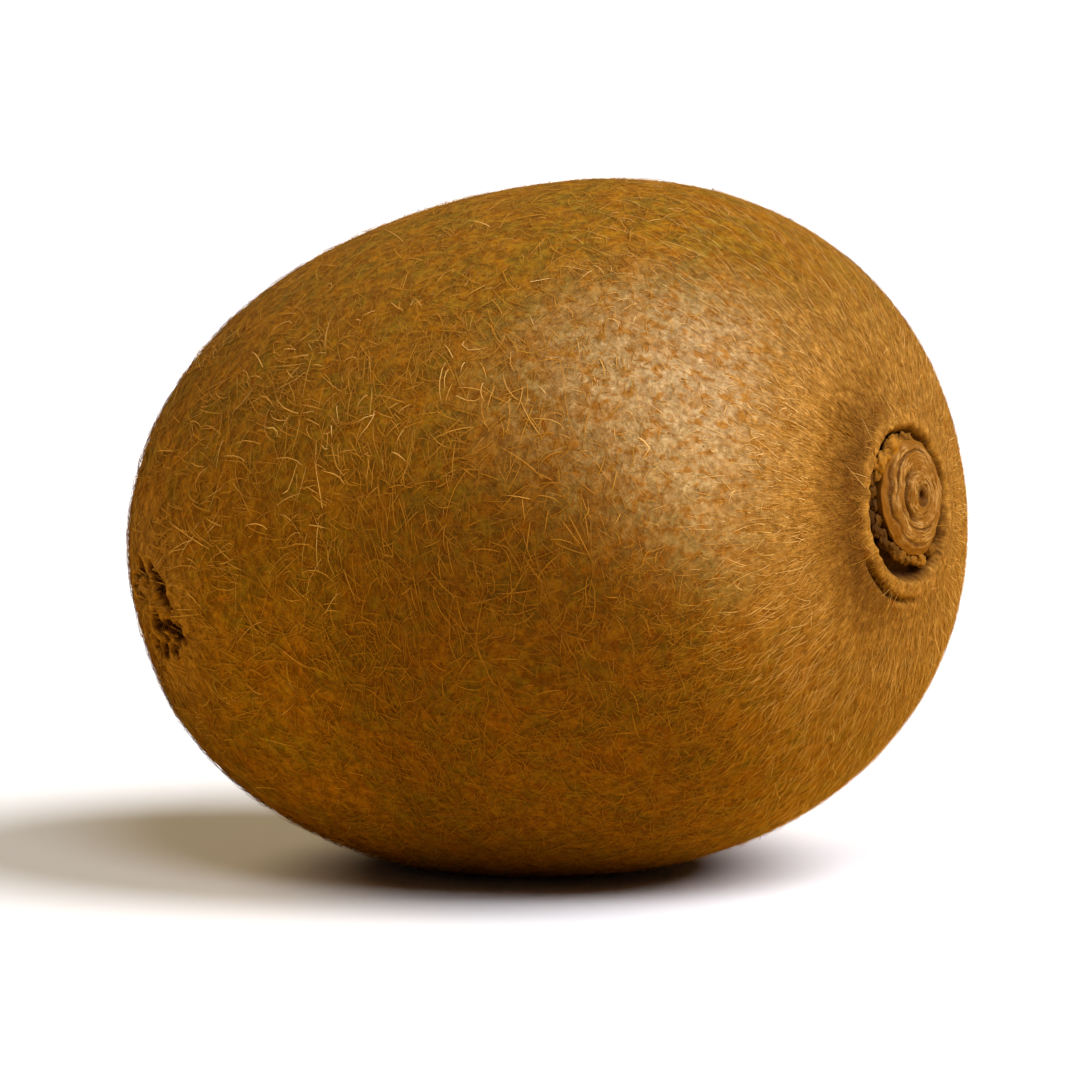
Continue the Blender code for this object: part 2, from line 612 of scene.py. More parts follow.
def millimetres(tree):
    place = add_node(tree, "ShaderNodeTexCoord").outputs["Object"]
    inputs = {"Vector": place, "Scale": (PER_METRE, PER_METRE, PER_METRE)}
    return add_node(tree, "ShaderNodeMapping", inputs).outputs[0]


def attribute(tree, name):
    return add_node(tree, "ShaderNodeAttribute", attribute_name=name).outputs["Fac"]


def cloud(tree, vector, size, detail=2.0, rough=0.5):
    """Noise from 0 to 1 whose features are about size millimetres across."""
    inputs = {"Vector": vector, "Scale": 1.0 / size, "Detail": detail, "Roughness": rough}
    return add_node(tree, "ShaderNodeTexNoise", inputs).outputs["Fac"]


def shaded(tree, color, tone):
    """A colour times a tone, and warmer the darker it gets, as light that bounces in fuzz is."""
    green = calculate(tree, "POWER", tone, 1.2)
    blue = calculate(tree, "POWER", tone, 1.7)
    tint = add_node(tree, "ShaderNodeCombineColor", {0: tone, 1: green, 2: blue}).outputs[0]
    return blend_colors(tree, 1.0, color, tint, "MULTIPLY")


def set_finish(tree, color, roughness, gloss, height=None, strength=0.5, depth=0.05):
    """Joins a finish to the surface. Gloss is the specular level, and depth is in mm."""
    surface = tree.nodes["Principled BSDF"]
    feed(tree, surface.inputs["Base Color"], color)
    feed(tree, surface.inputs["Roughness"], roughness)
    surface.inputs["Specular IOR Level"].default_value = gloss
    if height is not None:
        inputs = {"Height": height, "Strength": strength, "Distance": depth * MM}
        bump = add_node(tree, "ShaderNodeBump", inputs)
        tree.links.new(bump.outputs[0], surface.inputs["Normal"])


print("pattern helpers: place, stored values, cloud, shade, finish")

# %% [markdown]
# Skin, wood and stubs all have grain, so the grain is a node group with named inputs. It is
# built once, and each material places it with its own sizes. It gives broad patches and a fine
# grain, each from 0 to 1.

# %% The grain group
PATCH_DETAIL = {"Detail": 3.0, "Roughness": 0.6}
GRAIN_DETAIL = {"Detail": 4.0, "Roughness": 0.65}


def make_grain_group():
    group = bpy.data.node_groups.new("grain", "ShaderNodeTree")
    face = group.interface
    face.new_socket("Millimetres", in_out="INPUT", socket_type="NodeSocketVector")
    for name in ("Patch scale", "Grain scale"):
        face.new_socket(name, in_out="INPUT", socket_type="NodeSocketFloat")
    for name in ("Patches", "Grain"):
        face.new_socket(name, in_out="OUTPUT", socket_type="NodeSocketFloat")
    start = group.nodes.new("NodeGroupInput")
    end = group.nodes.new("NodeGroupOutput")
    coarse = {"Vector": start.outputs[0], "Scale": start.outputs[1], **PATCH_DETAIL}
    fine = {"Vector": start.outputs[0], "Scale": start.outputs[2], **GRAIN_DETAIL}
    patches = add_node(group, "ShaderNodeTexNoise", coarse).outputs["Fac"]
    grains = add_node(group, "ShaderNodeTexNoise", fine).outputs["Fac"]
    group.links.new(between(group, patches, 0.36, 0.64), end.inputs[0])
    group.links.new(between(group, grains, 0.30, 0.70), end.inputs[1])
    return group


GRAIN = make_grain_group()


def grain(tree, vector, patch_size, grain_size):
    """Patches and grain whose features are about so many millimetres across."""
    inputs = {0: vector, 1: 1.0 / patch_size, 2: 1.0 / grain_size}
    node = add_node(tree, "ShaderNodeGroup", node_tree=GRAIN)
    for key, value in inputs.items():
        feed(tree, node.inputs[key], value)
    return node.outputs[0], node.outputs[1]


print("grain group:", len(GRAIN.nodes), "nodes")

# %% [markdown]
# ## The skin's finish
#
# Under the fuzz the skin is thin and leathery: olive in some patches and rusty in others, with
# rusty blotches and dark pin-point pores. High on the near side it is rubbed: smoother, softly
# shining and less hairy, and its colour there is painted paler, with painted glints, as a painted
# highlight. Elsewhere it is dull. Round the scars, down hides it.

# %% Skin colours, and sizes in mm
OLIVE = (0.172, 0.092, 0.0035, 1.0)
RUST = (0.225, 0.092, 0.0020, 1.0)
FLECK = (0.235, 0.078, 0.0010, 1.0)
# The next three colours are for the worn patch: partly its paler worn skin and partly a painted
# highlight; the glint colour is a painted highlight.
WORN_AND_HIGHLIGHT = (0.360, 0.230, 0.1020, 1.0)
GLINT = (0.520, 0.370, 0.2000, 1.0)
WORN_HIGHLIGHT_FLECK = (0.290, 0.118, 0.0130, 1.0)
DOWN_DARK = (0.172, 0.073, 0.0060, 1.0)
DOWN_LIGHT = (0.400, 0.190, 0.0360, 1.0)
PATCH_SIZE, GRAIN_SIZE = 3.4, 0.40
SMUDGE_SIZE = 1.9
GLINT_SIZE = 0.75
GAP_SIZE = 1.0
FINEST_SIZE = 0.16
PORE_SPACING = 0.85
print("skin colours: 8, from patches of", PATCH_SIZE, "mm to grain of", FINEST_SIZE, "mm")

# %% [markdown]
# Combed down shows as fine lines from the stem to the blossom. They could be drawn on the map
# itself, but that would leave a seam where its two ends meet. So the map's turn is rolled up
# into a circle, and the noise is read on that tube.

# %% Streaks along the fruit
# how many round the fruit and from end to end, and the noise at which one starts and is full
BLOTCHES = (190, 58, 0.48, 0.66)
DOWN_LINES = (900, 75, 0.3, 0.7)


def streaks(tree, around, along, low, high):
    """Lines from the stem to the blossom, from 0 to 1."""
    mapped = add_node(tree, "ShaderNodeUVMap", uv_map=MAP_NAME).outputs[0]
    split = add_node(tree, "ShaderNodeSeparateXYZ", {0: mapped})
    turn = calculate(tree, "MULTIPLY", split.outputs[0], math.tau)
    radius = around / math.tau
    x = calculate(tree, "MULTIPLY", calculate(tree, "COSINE", turn), radius)
    y = calculate(tree, "MULTIPLY", calculate(tree, "SINE", turn), radius)
    z = calculate(tree, "MULTIPLY", split.outputs[1], along)
    vector = add_node(tree, "ShaderNodeCombineXYZ", {0: x, 1: y, 2: z}).outputs[0]
    return between(tree, cloud(tree, vector, 1.0, 2.0, 0.6), low, high)


def blotches(tree, place):
    """Rusty blotches: short streaks, and round smudges between them."""
    smudges = between(tree, cloud(tree, place, SMUDGE_SIZE, 4.0, 0.65), 0.46, 0.70, 0.0, 0.8)
    return calculate(tree, "MAXIMUM", streaks(tree, *BLOTCHES), smudges)


for name, count in (("blotches", BLOTCHES[0]), ("down lines", DOWN_LINES[0])):
    print(name, "are about", round(math.tau * HALF_WIDTH / MM / count, 2), "mm across")

# %% [markdown]
# The colour is laid on in layers, as a painter would: plain skin, the worn patch with its painted
# highlight and painted glints, the blotches, and last the down. The tone then darkens pores, and
# adds painted shade in the gaps between hairs and where the points store it.

# %% Skin colour and tone
def skin_color(tree, place, patches, spots, lines):
    worn_and_highlight_share = attribute(tree, "worn_and_highlight")
    plain = blend_colors(tree, patches, OLIVE, RUST)
    # Painted highlight: the worn patch is painted paler, with painted glints, and its flecks are
    # painted paler too.
    plain = blend_colors(tree, worn_and_highlight_share, plain, WORN_AND_HIGHLIGHT)
    glints = between(tree, cloud(tree, place, GLINT_SIZE, 2.0), 0.56, 0.72, 0.0, 0.6)
    plain = blend_colors(tree, calculate(tree, "MULTIPLY", glints, worn_and_highlight_share), plain, GLINT)
    spot_color = blend_colors(tree, worn_and_highlight_share, FLECK, WORN_HIGHLIGHT_FLECK)
    contrast = between(tree, worn_and_highlight_share, 0.0, 1.0, 0.65, 0.95)
    bare = blend_colors(tree, calculate(tree, "MULTIPLY", spots, contrast), plain, spot_color)
    down = blend_colors(tree, lines, DOWN_DARK, DOWN_LIGHT)
    return blend_colors(tree, attribute(tree, "downy"), bare, down)


def skin_shade(tree, place, fine):
    mottle = between(tree, fine, 0.0, 1.0, 0.80, 1.19)
    pores = add_node(tree, "ShaderNodeTexVoronoi", {"Vector": place, "Scale": 1.0 / PORE_SPACING})
    pore = between(tree, pores.outputs["Distance"], 0.06, 0.17, 0.6, 1.0)
    # Painted shade: darker uneven patches in the gaps between hairs, less dark on the worn patch.
    gap_tone = between(tree, attribute(tree, "worn_and_highlight"), 0.0, 1.0, 0.75, 0.88)
    gaps = between(tree, cloud(tree, place, GAP_SIZE, 3.0, 0.6), 0.40, 0.60, gap_tone, 1.10)
    # The stored tone is painted shade: the collar ring, hollows, trench, pits and the low side.
    return calculate(tree, "MULTIPLY", mottle, pore, gaps, attribute(tree, "tone"))


print("skin layers: plain, worn, glints, blotches, down")

# %% [markdown]
# The worn patch is the smoothest part, and blotches and down are rougher. The bump is fine
# grain, finer grain, and the lines of the combed down.

# %% Skin material
SKIN_GLOSS = 0.12
DULL, WORN_SMOOTH = 0.85, 0.36
SPOTS_ROUGHER, DOWN_ROUGHER = 0.35, 0.55


def make_skin_material():
    material, tree = new_material("kiwi_skin")
    place = millimetres(tree)
    patches, fine = grain(tree, place, PATCH_SIZE, GRAIN_SIZE)
    spots = blotches(tree, place)
    lines = streaks(tree, *DOWN_LINES)
    color = skin_color(tree, place, patches, spots, lines)
    downy_share = attribute(tree, "downy")
    rough = between(tree, attribute(tree, "worn_and_highlight"), 0.0, 1.0, DULL, WORN_SMOOTH)
    spot_rough = calculate(tree, "MULTIPLY", spots, SPOTS_ROUGHER)
    down_rough = calculate(tree, "MULTIPLY", downy_share, DOWN_ROUGHER)
    rough = calculate(tree, "ADD", rough, spot_rough, down_rough)
    finest = calculate(tree, "MULTIPLY", cloud(tree, place, FINEST_SIZE, 2.0), 0.5)
    combed = calculate(tree, "MULTIPLY", lines, downy_share)
    height = calculate(tree, "ADD", fine, finest, combed)
    color = shaded(tree, color, skin_shade(tree, place, fine))
    set_finish(tree, color, rough, SKIN_GLOSS, height, strength=0.5, depth=0.06)
    return material


skin_material = make_skin_material()
print("skin material:", len(skin_material.node_tree.nodes), "nodes")

# %% [markdown]
# Where each layer shows is worked out in numpy and stored on the points, because the hairs ask
# for the same values. First the painted shade: the coat is painted darker in a ring just outside
# the collar, in hollows, and on the low side.

# %% Where painted shade darkens the fruit
# Painted shade: how much darker the coat is painted in the ring outside the collar, on its shaded
# side, on the low side, in hollows, the trench and the pits.
RING_SIDE = math.radians(170)
RING_DARK, RING_SIDE_DARK = 0.08, 0.44  # all round, and added on its darkest side
LOW_POLAR, LOW_AROUND = math.radians(93), math.radians(208)
LOW_REACH, LOW_CORE = math.radians(61), math.radians(24)
LOW_DARK = 0.33
HOLLOW_DARK = 0.75
TRENCH_DARK = 0.82
PIT_DARK = 0.8


def coat_shade(directions):
    """Painted shade on the coat: 1 on plain skin, and less outside the collar, low down and in pits.
    """
    stem = stem_place(directions)
    ring = swell(stem, 6.3 * MM, 7.0 * MM) * swell(-stem, -12.5 * MM, -7.6 * MM)
    side = swell(np.cos(around_of(directions) - RING_SIDE), -0.1, 0.8)
    low = directions @ from_polar(np.array(LOW_POLAR), np.array(LOW_AROUND))
    low = swell(low, math.cos(LOW_REACH), math.cos(LOW_CORE))
    pits = 1 - HOLLOW_DARK * blossom_pits(directions)[1]
    hollows = (1 - HOLLOW_DARK * furrow(directions)) * pits
    return (1 - ring * (RING_DARK + RING_SIDE_DARK * side)) * (1 - LOW_DARK * low) * hollows


def painted_skin_shade(directions):
    """Painted shade on the skin: the coat's, and almost 0 in the trench and the pits."""
    trench = 1 - TRENCH_DARK * swell(-stem_place(directions), -5.9 * MM, -5.3 * MM)
    return trench * (1 - PIT_DARK * blossom_pits(directions)[1]) * coat_shade(directions)


print(f"the low side is {LOW_DARK:.0%} darker, the trench {TRENCH_DARK:.0%}")

# %% [markdown]
# The worn patch is an oval that reaches further from the stem than towards it. Its colour carries
# a painted highlight. Down hides the skin near both scars.

# %% Where the skin is worn and highlighted, and where it is downy
WORN_HIGHLIGHT_POLAR, WORN_HIGHLIGHT_AROUND = math.radians(47), math.radians(152)
WORN_HIGHLIGHT_AWAY, WORN_HIGHLIGHT_STEMWARD = math.radians(56), math.radians(46)
WORN_HIGHLIGHT_WIDE = math.radians(36)


def worn_and_highlight(directions):
    """1 in the middle of the worn patch, where a highlight is painted, and 0 outside it."""
    along = polar_of(directions) - WORN_HIGHLIGHT_POLAR
    turn = (around_of(directions) - WORN_HIGHLIGHT_AROUND + math.pi) % math.tau - math.pi
    along = along / np.where(along > 0, WORN_HIGHLIGHT_AWAY, WORN_HIGHLIGHT_STEMWARD)
    turn = turn * np.sin(polar_of(directions)) / WORN_HIGHLIGHT_WIDE
    return swell(-np.hypot(along, turn), -1, -0.1)


def downy(directions):
    """1 where down hides the skin: round the stem end and at the blossom scar."""
    stem, blossom = from_stem(directions), from_blossom(directions)
    return 1 - (1 - swell(-stem, -24 * MM, -9 * MM)) * (1 - swell(-blossom, -10 * MM, -5 * MM))


for name, share_of in (("tone", painted_skin_shade), ("downy", downy), ("worn_and_highlight", worn_and_highlight)):
    values = share_of(skin_directions)
    set_values(skin_mesh, name, values)
    print(f"{name}: from {values.min():.2f} to {values.max():.2f}")

skin = add_piece("kiwi_skin", skin_mesh, skin_material)
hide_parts("kiwi_fruit")

# %% [markdown]
# ## Axes of the scars
#
# What grows on a scar is easiest to place along the scar's own axes. They are measured on the
# plain skin: a small step up and a small step towards the near side give two of them, and the
# way out of the scar is square to both.

# %% Measure both scars
def scar_axes(pole):
    """The scar's middle on plain skin, and unit vectors out of it, up it and to the near side."""
    centre = skin_points(np.array([[pole, 0.0, 0.0]]), np.zeros(1))[0]
    step = 0.02
    polar = np.array([step if pole > 0 else math.pi - step])
    sides = []
    for around in (math.pi / 2, math.pi):
        place = from_polar(polar, np.array([around]))
        sides.append(skin_points(place, np.zeros(1))[0] - centre)
    up, near = (unit(side) for side in sides)
    return centre, unit(np.cross(up, near)) * pole, up, near


stem_centre, stem_out, stem_up, stem_near = scar_axes(1)
blossom_centre, blossom_out, blossom_up, blossom_near = scar_axes(-1)
print("stem scar in mm:", np.round(stem_centre / MM, 1), "facing", np.round(stem_out, 2))
print("blossom scar in mm:", np.round(blossom_centre / MM, 1), "facing", np.round(blossom_out, 2))

# %% [markdown]
# ## The woody disc
#
# Where the stalk broke off, a disc of wood stays behind, with growth rings round a small pith
# hole that isn't in its middle. A round thing like this is turned from a profile with spin. The
# profile runs over the top, down the side and back under it, so the disc is closed.

# %% Turn the disc
DISC_RADIUS = 4.45 * MM
DISC_DEPTH = 1.5 * MM
DISC_RINGS = 60
DISC_STEPS = 160
SIDE_STEPS, BASE_STEPS = 10, 4


def spin_profile(profile, steps):
    """A closed turned form about Z, from (radius, height) points that start and end on Z."""
    mesh_edit = bmesh.new()
    verts = [mesh_edit.verts.new((radius, 0, height)) for radius, height in profile]
    edges = [mesh_edit.edges.new(pair) for pair in zip(verts, verts[1:])]
    bmesh.ops.spin(
        mesh_edit, geom=verts + edges, cent=(0, 0, 0), axis=(0, 0, 1),
        angle=math.tau, steps=steps, use_merge=True,
    )
    bmesh.ops.remove_doubles(mesh_edit, verts=mesh_edit.verts, dist=1e-6)
    bmesh.ops.recalc_face_normals(mesh_edit, faces=mesh_edit.faces)
    return mesh_edit


def turn_disc():
    top = [(DISC_RADIUS * ring / DISC_RINGS, 0.0) for ring in range(DISC_RINGS + 1)]
    side = [(DISC_RADIUS, -DISC_DEPTH * step / SIDE_STEPS) for step in range(1, SIDE_STEPS + 1)]
    base = [(DISC_RADIUS * (1 - step / BASE_STEPS), -DISC_DEPTH) for step in range(1, BASE_STEPS + 1)]
    return mesh_from(spin_profile(top + side + base, DISC_STEPS), "stem_disc")


disc_mesh = turn_disc()
print("disc points:", len(disc_mesh.vertices))

# %% [markdown]
# The wood has cracked along some of its growth rings. Each groove wanders, and is deep on one
# side and almost closed on the other.

# %% Grooves between the growth rings
# in mm and degrees: distance from the pith, width, depth, the side where it is deepest (turn
# from the near side towards up) and a seed
DISC_GROOVES = [
    (0.72, 0.15, 0.14, 270, 61),
    (1.35, 0.10, 0.10, 200, 65),
    (2.00, 0.34, 0.60, 350, 62),
    (2.75, 0.12, 0.12, 300, 63),
    (3.25, 0.12, 0.14, 60, 64),
    (3.75, 0.18, 0.24, 320, 66),
]


def groove_map(radius, turn, x, y):
    """The growth ring of each place, how deep the grooves are there, and their painted shade."""
    bent = radius + 0.07 * MM * lumpy(x, y, 1.5 * MM, 67) * swell(radius, 0.3 * MM, 1.5 * MM)
    depth, dark = np.zeros_like(radius), np.zeros_like(radius)
    for place, width, deep, side, seed in DISC_GROOVES:
        away = bent - (place + 0.08 * place**0.5 * waves(turn, seed, 3)) * MM
        lobe = 0.30 + 0.70 * swell(np.cos(turn - math.radians(side)), -0.3, 0.7)
        strength = np.clip(0.75 + 0.60 * waves(turn, seed + 10, 5), 0, 1) * lobe
        groove = strength * np.exp(-((away / (width * MM)) ** 2))
        depth += deep * MM * groove
        dark = np.maximum(dark, groove)
    return bent, depth, dark


print("grooves:", len(DISC_GROOVES))

# %% [markdown]
# The flat disc gets its height: it droops towards its edge, which is rounded, and dips to the
# pith hole. Fine fibres and two sizes of lumps make it feel like wood.

# %% Height of the disc
DISC_RISE = 0.08 * MM
DISC_DROOP = 0.42 * MM  # how much lower its edge lies than its middle
DISC_BEVEL = 0.40 * MM
PITH_DISH = 0.22 * MM
PITH_HOLE = 0.80 * MM
TOP_WARP = 0.10 * MM
FIBRE_HEIGHT = 0.013 * MM
FIBRES_PER_MM = 21 / math.tau

# height and size in mm, seed, and the shares of the radius between which the lumps fade in
DISC_LUMPS = [(0.04, 0.9, 68, 0.1, 0.4), (0.022, 0.35, 69, 0.04, 0.15)]


def disc_height(share, turn, bent, x, y):
    """Height of the disc's top, without its grooves."""
    fibres = np.sin(bent / MM * FIBRES_PER_MM * math.tau + 2.2 * waves(turn, 15, 7))
    height = DISC_RISE - DISC_DROOP * share**2
    height += FIBRE_HEIGHT * fibres * swell(share, 0.15, 0.3)
    for tall, size, seed, inner, outer in DISC_LUMPS:
        height += tall * MM * lumpy(x, y, size * MM, seed) * swell(share, inner, outer)
    height += TOP_WARP * waves(turn, 14, 4) * share
    height -= PITH_DISH * swell(-share, -0.26, -0.08) + PITH_HOLE * swell(-share, -0.075, -0.03)
    return height - DISC_BEVEL * swell(share, 0.74, 1.0) ** 2


print(f"the disc's edge lies {(DISC_DROOP + DISC_BEVEL) / MM:.2f} mm below its middle")

# %% [markdown]
# Then the disc's outline is notched and its rings are moved, the inner ones to the pith and the
# outer ones to the middle of the disc, as they grew. The values that the wood's material needs
# are stored on the points.

# %% Shape the disc
DISC_SHIFT = (0.45 * MM, -0.80 * MM)  # up, and towards the near side
PITH_SHIFT = (0.30 * MM, -1.50 * MM)
OUTLINE_BROAD, OUTLINE_FINE = 0.035, 0.022  # how far it is notched, as shares of the radius
SIDE_RAGGED = 0.05
RIM = 0.6  # the edge value at the rim, and it goes on rising down the side


def shape_disc(mesh):
    x, y, z = points_of(mesh).T
    radius, turn = np.hypot(x, y), np.arctan2(y, x)
    share = radius / DISC_RADIUS
    deep = -z / DISC_DEPTH
    on_top = z > -1e-9
    bent, depth, dark = groove_map(radius, turn, x, y)
    top = disc_height(share, turn, bent, x, y) - depth
    height = np.where(on_top, top, z + DISC_RISE - DISC_DROOP - DISC_BEVEL)
    notch = OUTLINE_BROAD * waves(turn, 11) + OUTLINE_FINE * waves(turn, 19, 22)
    ragged = 2.6 * waves(turn + 3 * deep, 16, 18) - 2.2
    scale = 1 + notch * share + SIDE_RAGGED * share * deep * ragged
    up = y * scale + DISC_SHIFT[0] * share + PITH_SHIFT[0] * (1 - share)
    near = x * scale + DISC_SHIFT[1] * share + PITH_SHIFT[1] * (1 - share)
    values = {
        "groove": np.where(on_top, dark, 0),
        "growth": bent / MM,
        "turn_x": np.cos(turn),
        "turn_y": np.sin(turn),
        "pith": swell(share, 0.05, 0.26),
        "edge": np.where(on_top, RIM * swell(share, 0.80, 0.98), RIM + deep),
    }
    for name, column in values.items():
        set_values(mesh, name, column)
    columns = ((up, stem_up), (near, stem_near), (height, stem_out))
    set_points(mesh, stem_centre + sum(size[:, None] * axis for size, axis in columns))
    return depth.max()


print(f"deepest groove {shape_disc(disc_mesh) / MM:.2f} mm")

# %% [markdown]
# The wood's fibres run along the growth rings, so its noise is read in ring space: far apart
# from ring to ring, and close together along a ring. Grooves, pith and the disc's side get
# painted shade.

# %% Wood material
WOOD_LIGHT = (0.370, 0.192, 0.0540, 1.0)
WOOD_MIDDLE = (0.150, 0.057, 0.0058, 1.0)
WOOD_EDGE = (0.185, 0.069, 0.0062, 1.0)
# The darkest wood colour is painted shade, for the grooves, the pith hole and the disc's side.
WOOD_DARK = (0.060, 0.019, 0.0012, 1.0)
RINGS_APART = 9.0
ALONG_RING = 2.2
WOOD_GLOSS = 0.06


def wood_fibres(tree):
    growth = calculate(tree, "MULTIPLY", attribute(tree, "growth"), RINGS_APART)
    turn_x = calculate(tree, "MULTIPLY", attribute(tree, "turn_x"), ALONG_RING)
    turn_y = calculate(tree, "MULTIPLY", attribute(tree, "turn_y"), ALONG_RING)
    along = add_node(tree, "ShaderNodeCombineXYZ", {0: growth, 1: turn_x, 2: turn_y}).outputs[0]
    return between(tree, cloud(tree, along, 1.0, 4.0, 0.6), 0.38, 0.60)


def make_wood_material():
    material, tree = new_material("stem_wood")
    patches, fine = grain(tree, millimetres(tree), 1.5, 0.14)
    fibres = wood_fibres(tree)
    edge = attribute(tree, "edge")
    color = blend_colors(tree, fibres, WOOD_MIDDLE, WOOD_LIGHT)
    color = blend_colors(tree, between(tree, patches, 0.2, 0.8, 0, 0.8), color, WOOD_EDGE)
    color = blend_colors(tree, between(tree, edge, 0.0, RIM), color, WOOD_EDGE)
    groove = between(tree, attribute(tree, "groove"), 0.12, 0.75)
    groove = calculate(tree, "MULTIPLY", groove, between(tree, fine, 0, 1, 0.65, 1.0))
    pith = calculate(tree, "SUBTRACT", 1.0, attribute(tree, "pith"))
    # Painted shade: dark in the grooves, down the disc's side and in the pith hole.
    dark = calculate(tree, "MAXIMUM", groove, between(tree, edge, 0.62, 1.15), pith)
    color = blend_colors(tree, dark, color, WOOD_DARK)
    height = calculate(tree, "ADD", fine, fibres)
    rough = between(tree, fine, 0, 1, 0.6, 0.8)
    set_finish(tree, color, rough, WOOD_GLOSS, height, strength=0.45, depth=0.05)
    return material


add_piece("stem_disc", disc_mesh, make_wood_material())

# %% [markdown]
# ## Dried stubs
#
# The flower's sepals dried up in the trench round the wood, and its styles dried in the pit at
# the other end. Each is a small lump with its own place and size, so they are listed one by one.

# %% Lumps at both scars, in mm and degrees
# turn from up towards the near side, distance from the scar's middle, height, half sizes
# round the scar, across it and outwards, and how pale it is from 0 to 1
# Stubs deep in the trench are given low paleness: partly their own brown, partly painted shade.
TRENCH_LUMPS = [
    (2, 4.85, -0.50, 0.50, 0.44, 0.34, 0.5),
    (13, 4.70, -0.32, 0.92, 0.70, 0.42, 0.9),
    (27, 4.50, -0.36, 0.60, 0.52, 0.36, 0.75),
    (40, 4.75, -0.38, 0.80, 0.70, 0.42, 0.85),
    (53, 4.60, -0.62, 0.50, 0.42, 0.32, 0.4),
    (60, 5.05, -0.80, 0.44, 0.46, 0.30, 0.15),
    (68, 4.45, -0.94, 0.52, 0.40, 0.28, 0.1),
    (77, 4.85, -1.08, 0.60, 0.50, 0.32, 0.0),
    (83, 4.20, -0.98, 0.50, 0.34, 0.28, 0.05),
    (94, 4.70, -1.08, 0.62, 0.50, 0.34, 0.0),
    (99, 4.10, -0.92, 0.44, 0.30, 0.26, 0.15),
    (108, 4.60, -1.00, 0.55, 0.48, 0.36, 0.05),
    (115, 4.15, -0.82, 0.42, 0.34, 0.28, 0.1),
    (124, 4.40, -0.88, 0.70, 0.56, 0.40, 0.05),
    (135, 4.10, -0.78, 0.46, 0.40, 0.32, 0.15),
    (143, 4.25, -0.72, 0.55, 0.50, 0.36, 0.25),
    (155, 4.15, -0.66, 0.62, 0.50, 0.34, 0.4),
    (168, 4.35, -0.70, 0.50, 0.50, 0.34, 0.35),
    (180, 4.45, -0.60, 0.46, 0.40, 0.32, 0.5),
    (192, 4.75, -0.48, 0.62, 0.52, 0.36, 0.7),
    (217, 5.20, -0.60, 0.54, 0.42, 0.36, 0.4),
    (262, 5.50, -0.80, 0.66, 0.32, 0.32, 0.2),
    (305, 5.50, -0.70, 0.60, 0.34, 0.34, 0.3),
    (345, 5.00, -0.50, 0.80, 0.50, 0.36, 0.5),
]
BLOSSOM_LUMPS = [
    (62, 2.45, 0.02, 0.22, 0.62, 0.30, 0.6),
    (93, 3.05, -0.12, 0.46, 0.52, 0.34, 0.8),
    (92, 4.20, -0.04, 0.20, 0.26, 0.20, 1.0),
    (130, 3.65, -0.22, 0.34, 0.46, 0.34, 0.9),
    (15, 2.30, 0.10, 0.30, 0.45, 0.30, 0.6),
    (150, 2.60, 0.05, 0.34, 0.50, 0.30, 0.5),
    (195, 2.50, 0.08, 0.30, 0.48, 0.32, 0.7),
    (235, 2.55, 0.05, 0.28, 0.44, 0.30, 0.5),
    (280, 2.50, 0.08, 0.32, 0.50, 0.32, 0.6),
    (325, 2.60, 0.05, 0.30, 0.46, 0.30, 0.5),
]
print("lumps:", len(TRENCH_LUMPS), "in the trench and", len(BLOSSOM_LUMPS), "at the blossom scar")

# %% [markdown]
# A lump is an icosphere, roughened with noise, stretched along the scar's axes and moved to its
# place. An icosphere has no poles, so it takes the noise evenly.

# %% Make the stubs
LUMP_ROUGHNESS = 0.50
LUMP_NOISE = 1.7


def roughened(verts, seed):
    shift = Vector((seed * 7.1, seed * 3.3, 0))
    for vert in verts:
        push = noise.fractal(vert.co * LUMP_NOISE + shift, 1.0, 2.0, 4)
        vert.co *= 1 + LUMP_ROUGHNESS * push


def make_stub_mesh(name, lumps, pole, reach, axes):
    out, up, near = (Vector(axis) for axis in axes)
    mesh_edit = bmesh.new()
    tones = []
    for seed, (turn, distance, height, along, across, tall, tone) in enumerate(lumps):
        made = bmesh.ops.create_icosphere(mesh_edit, subdivisions=3, radius=1.0)["verts"]
        roughened(made, seed)
        angle = math.radians(turn)
        away = up * math.cos(angle) + near * math.sin(angle)
        sideways = out.cross(away)
        polar = distance * MM / reach if pole > 0 else math.pi - distance * MM / reach
        way = from_polar(np.array([polar]), np.array([angle + math.pi / 2]))
        centre = skin_points(way, np.array([height * MM]))[0]
        sizes = Matrix((sideways * along * MM, away * across * MM, out * tall * MM)).transposed()
        bmesh.ops.transform(mesh_edit, matrix=sizes.to_4x4(), verts=made)
        bmesh.ops.translate(mesh_edit, verts=made, vec=centre)
        tones += [tone] * len(made)
    bmesh.ops.recalc_face_normals(mesh_edit, faces=mesh_edit.faces)
    mesh = mesh_from(mesh_edit, name)
    set_values(mesh, "pale", tones)
    return mesh


stem_axes = (stem_out, stem_up, stem_near)
blossom_axes = (blossom_out, blossom_up, blossom_near)
stem_stub_mesh = make_stub_mesh("stem_stubs", TRENCH_LUMPS, 1, STEM_REACH, stem_axes)
blossom_stub_mesh = make_stub_mesh("blossom_stubs", BLOSSOM_LUMPS, -1, BLOSSOM_REACH, blossom_axes)
print("stub points:", len(stem_stub_mesh.vertices), "and", len(blossom_stub_mesh.vertices))

# %% [markdown]
# Dead tissue is brown and crumbly. How pale a stub is was stored on its points. Broad random
# patches darken it, and the fine grain paints shade into its hollows.

# %% Stub material
STUB_LIGHT = (0.400, 0.168, 0.0170, 1.0)
# The dark brown is partly painted shade, for the stubs deep in the trench.
STUB_BROWN = (0.062, 0.021, 0.0016, 1.0)
STUB_DARK = (0.022, 0.007, 0.0006, 1.0)
STUB_GLOSS = 0.08


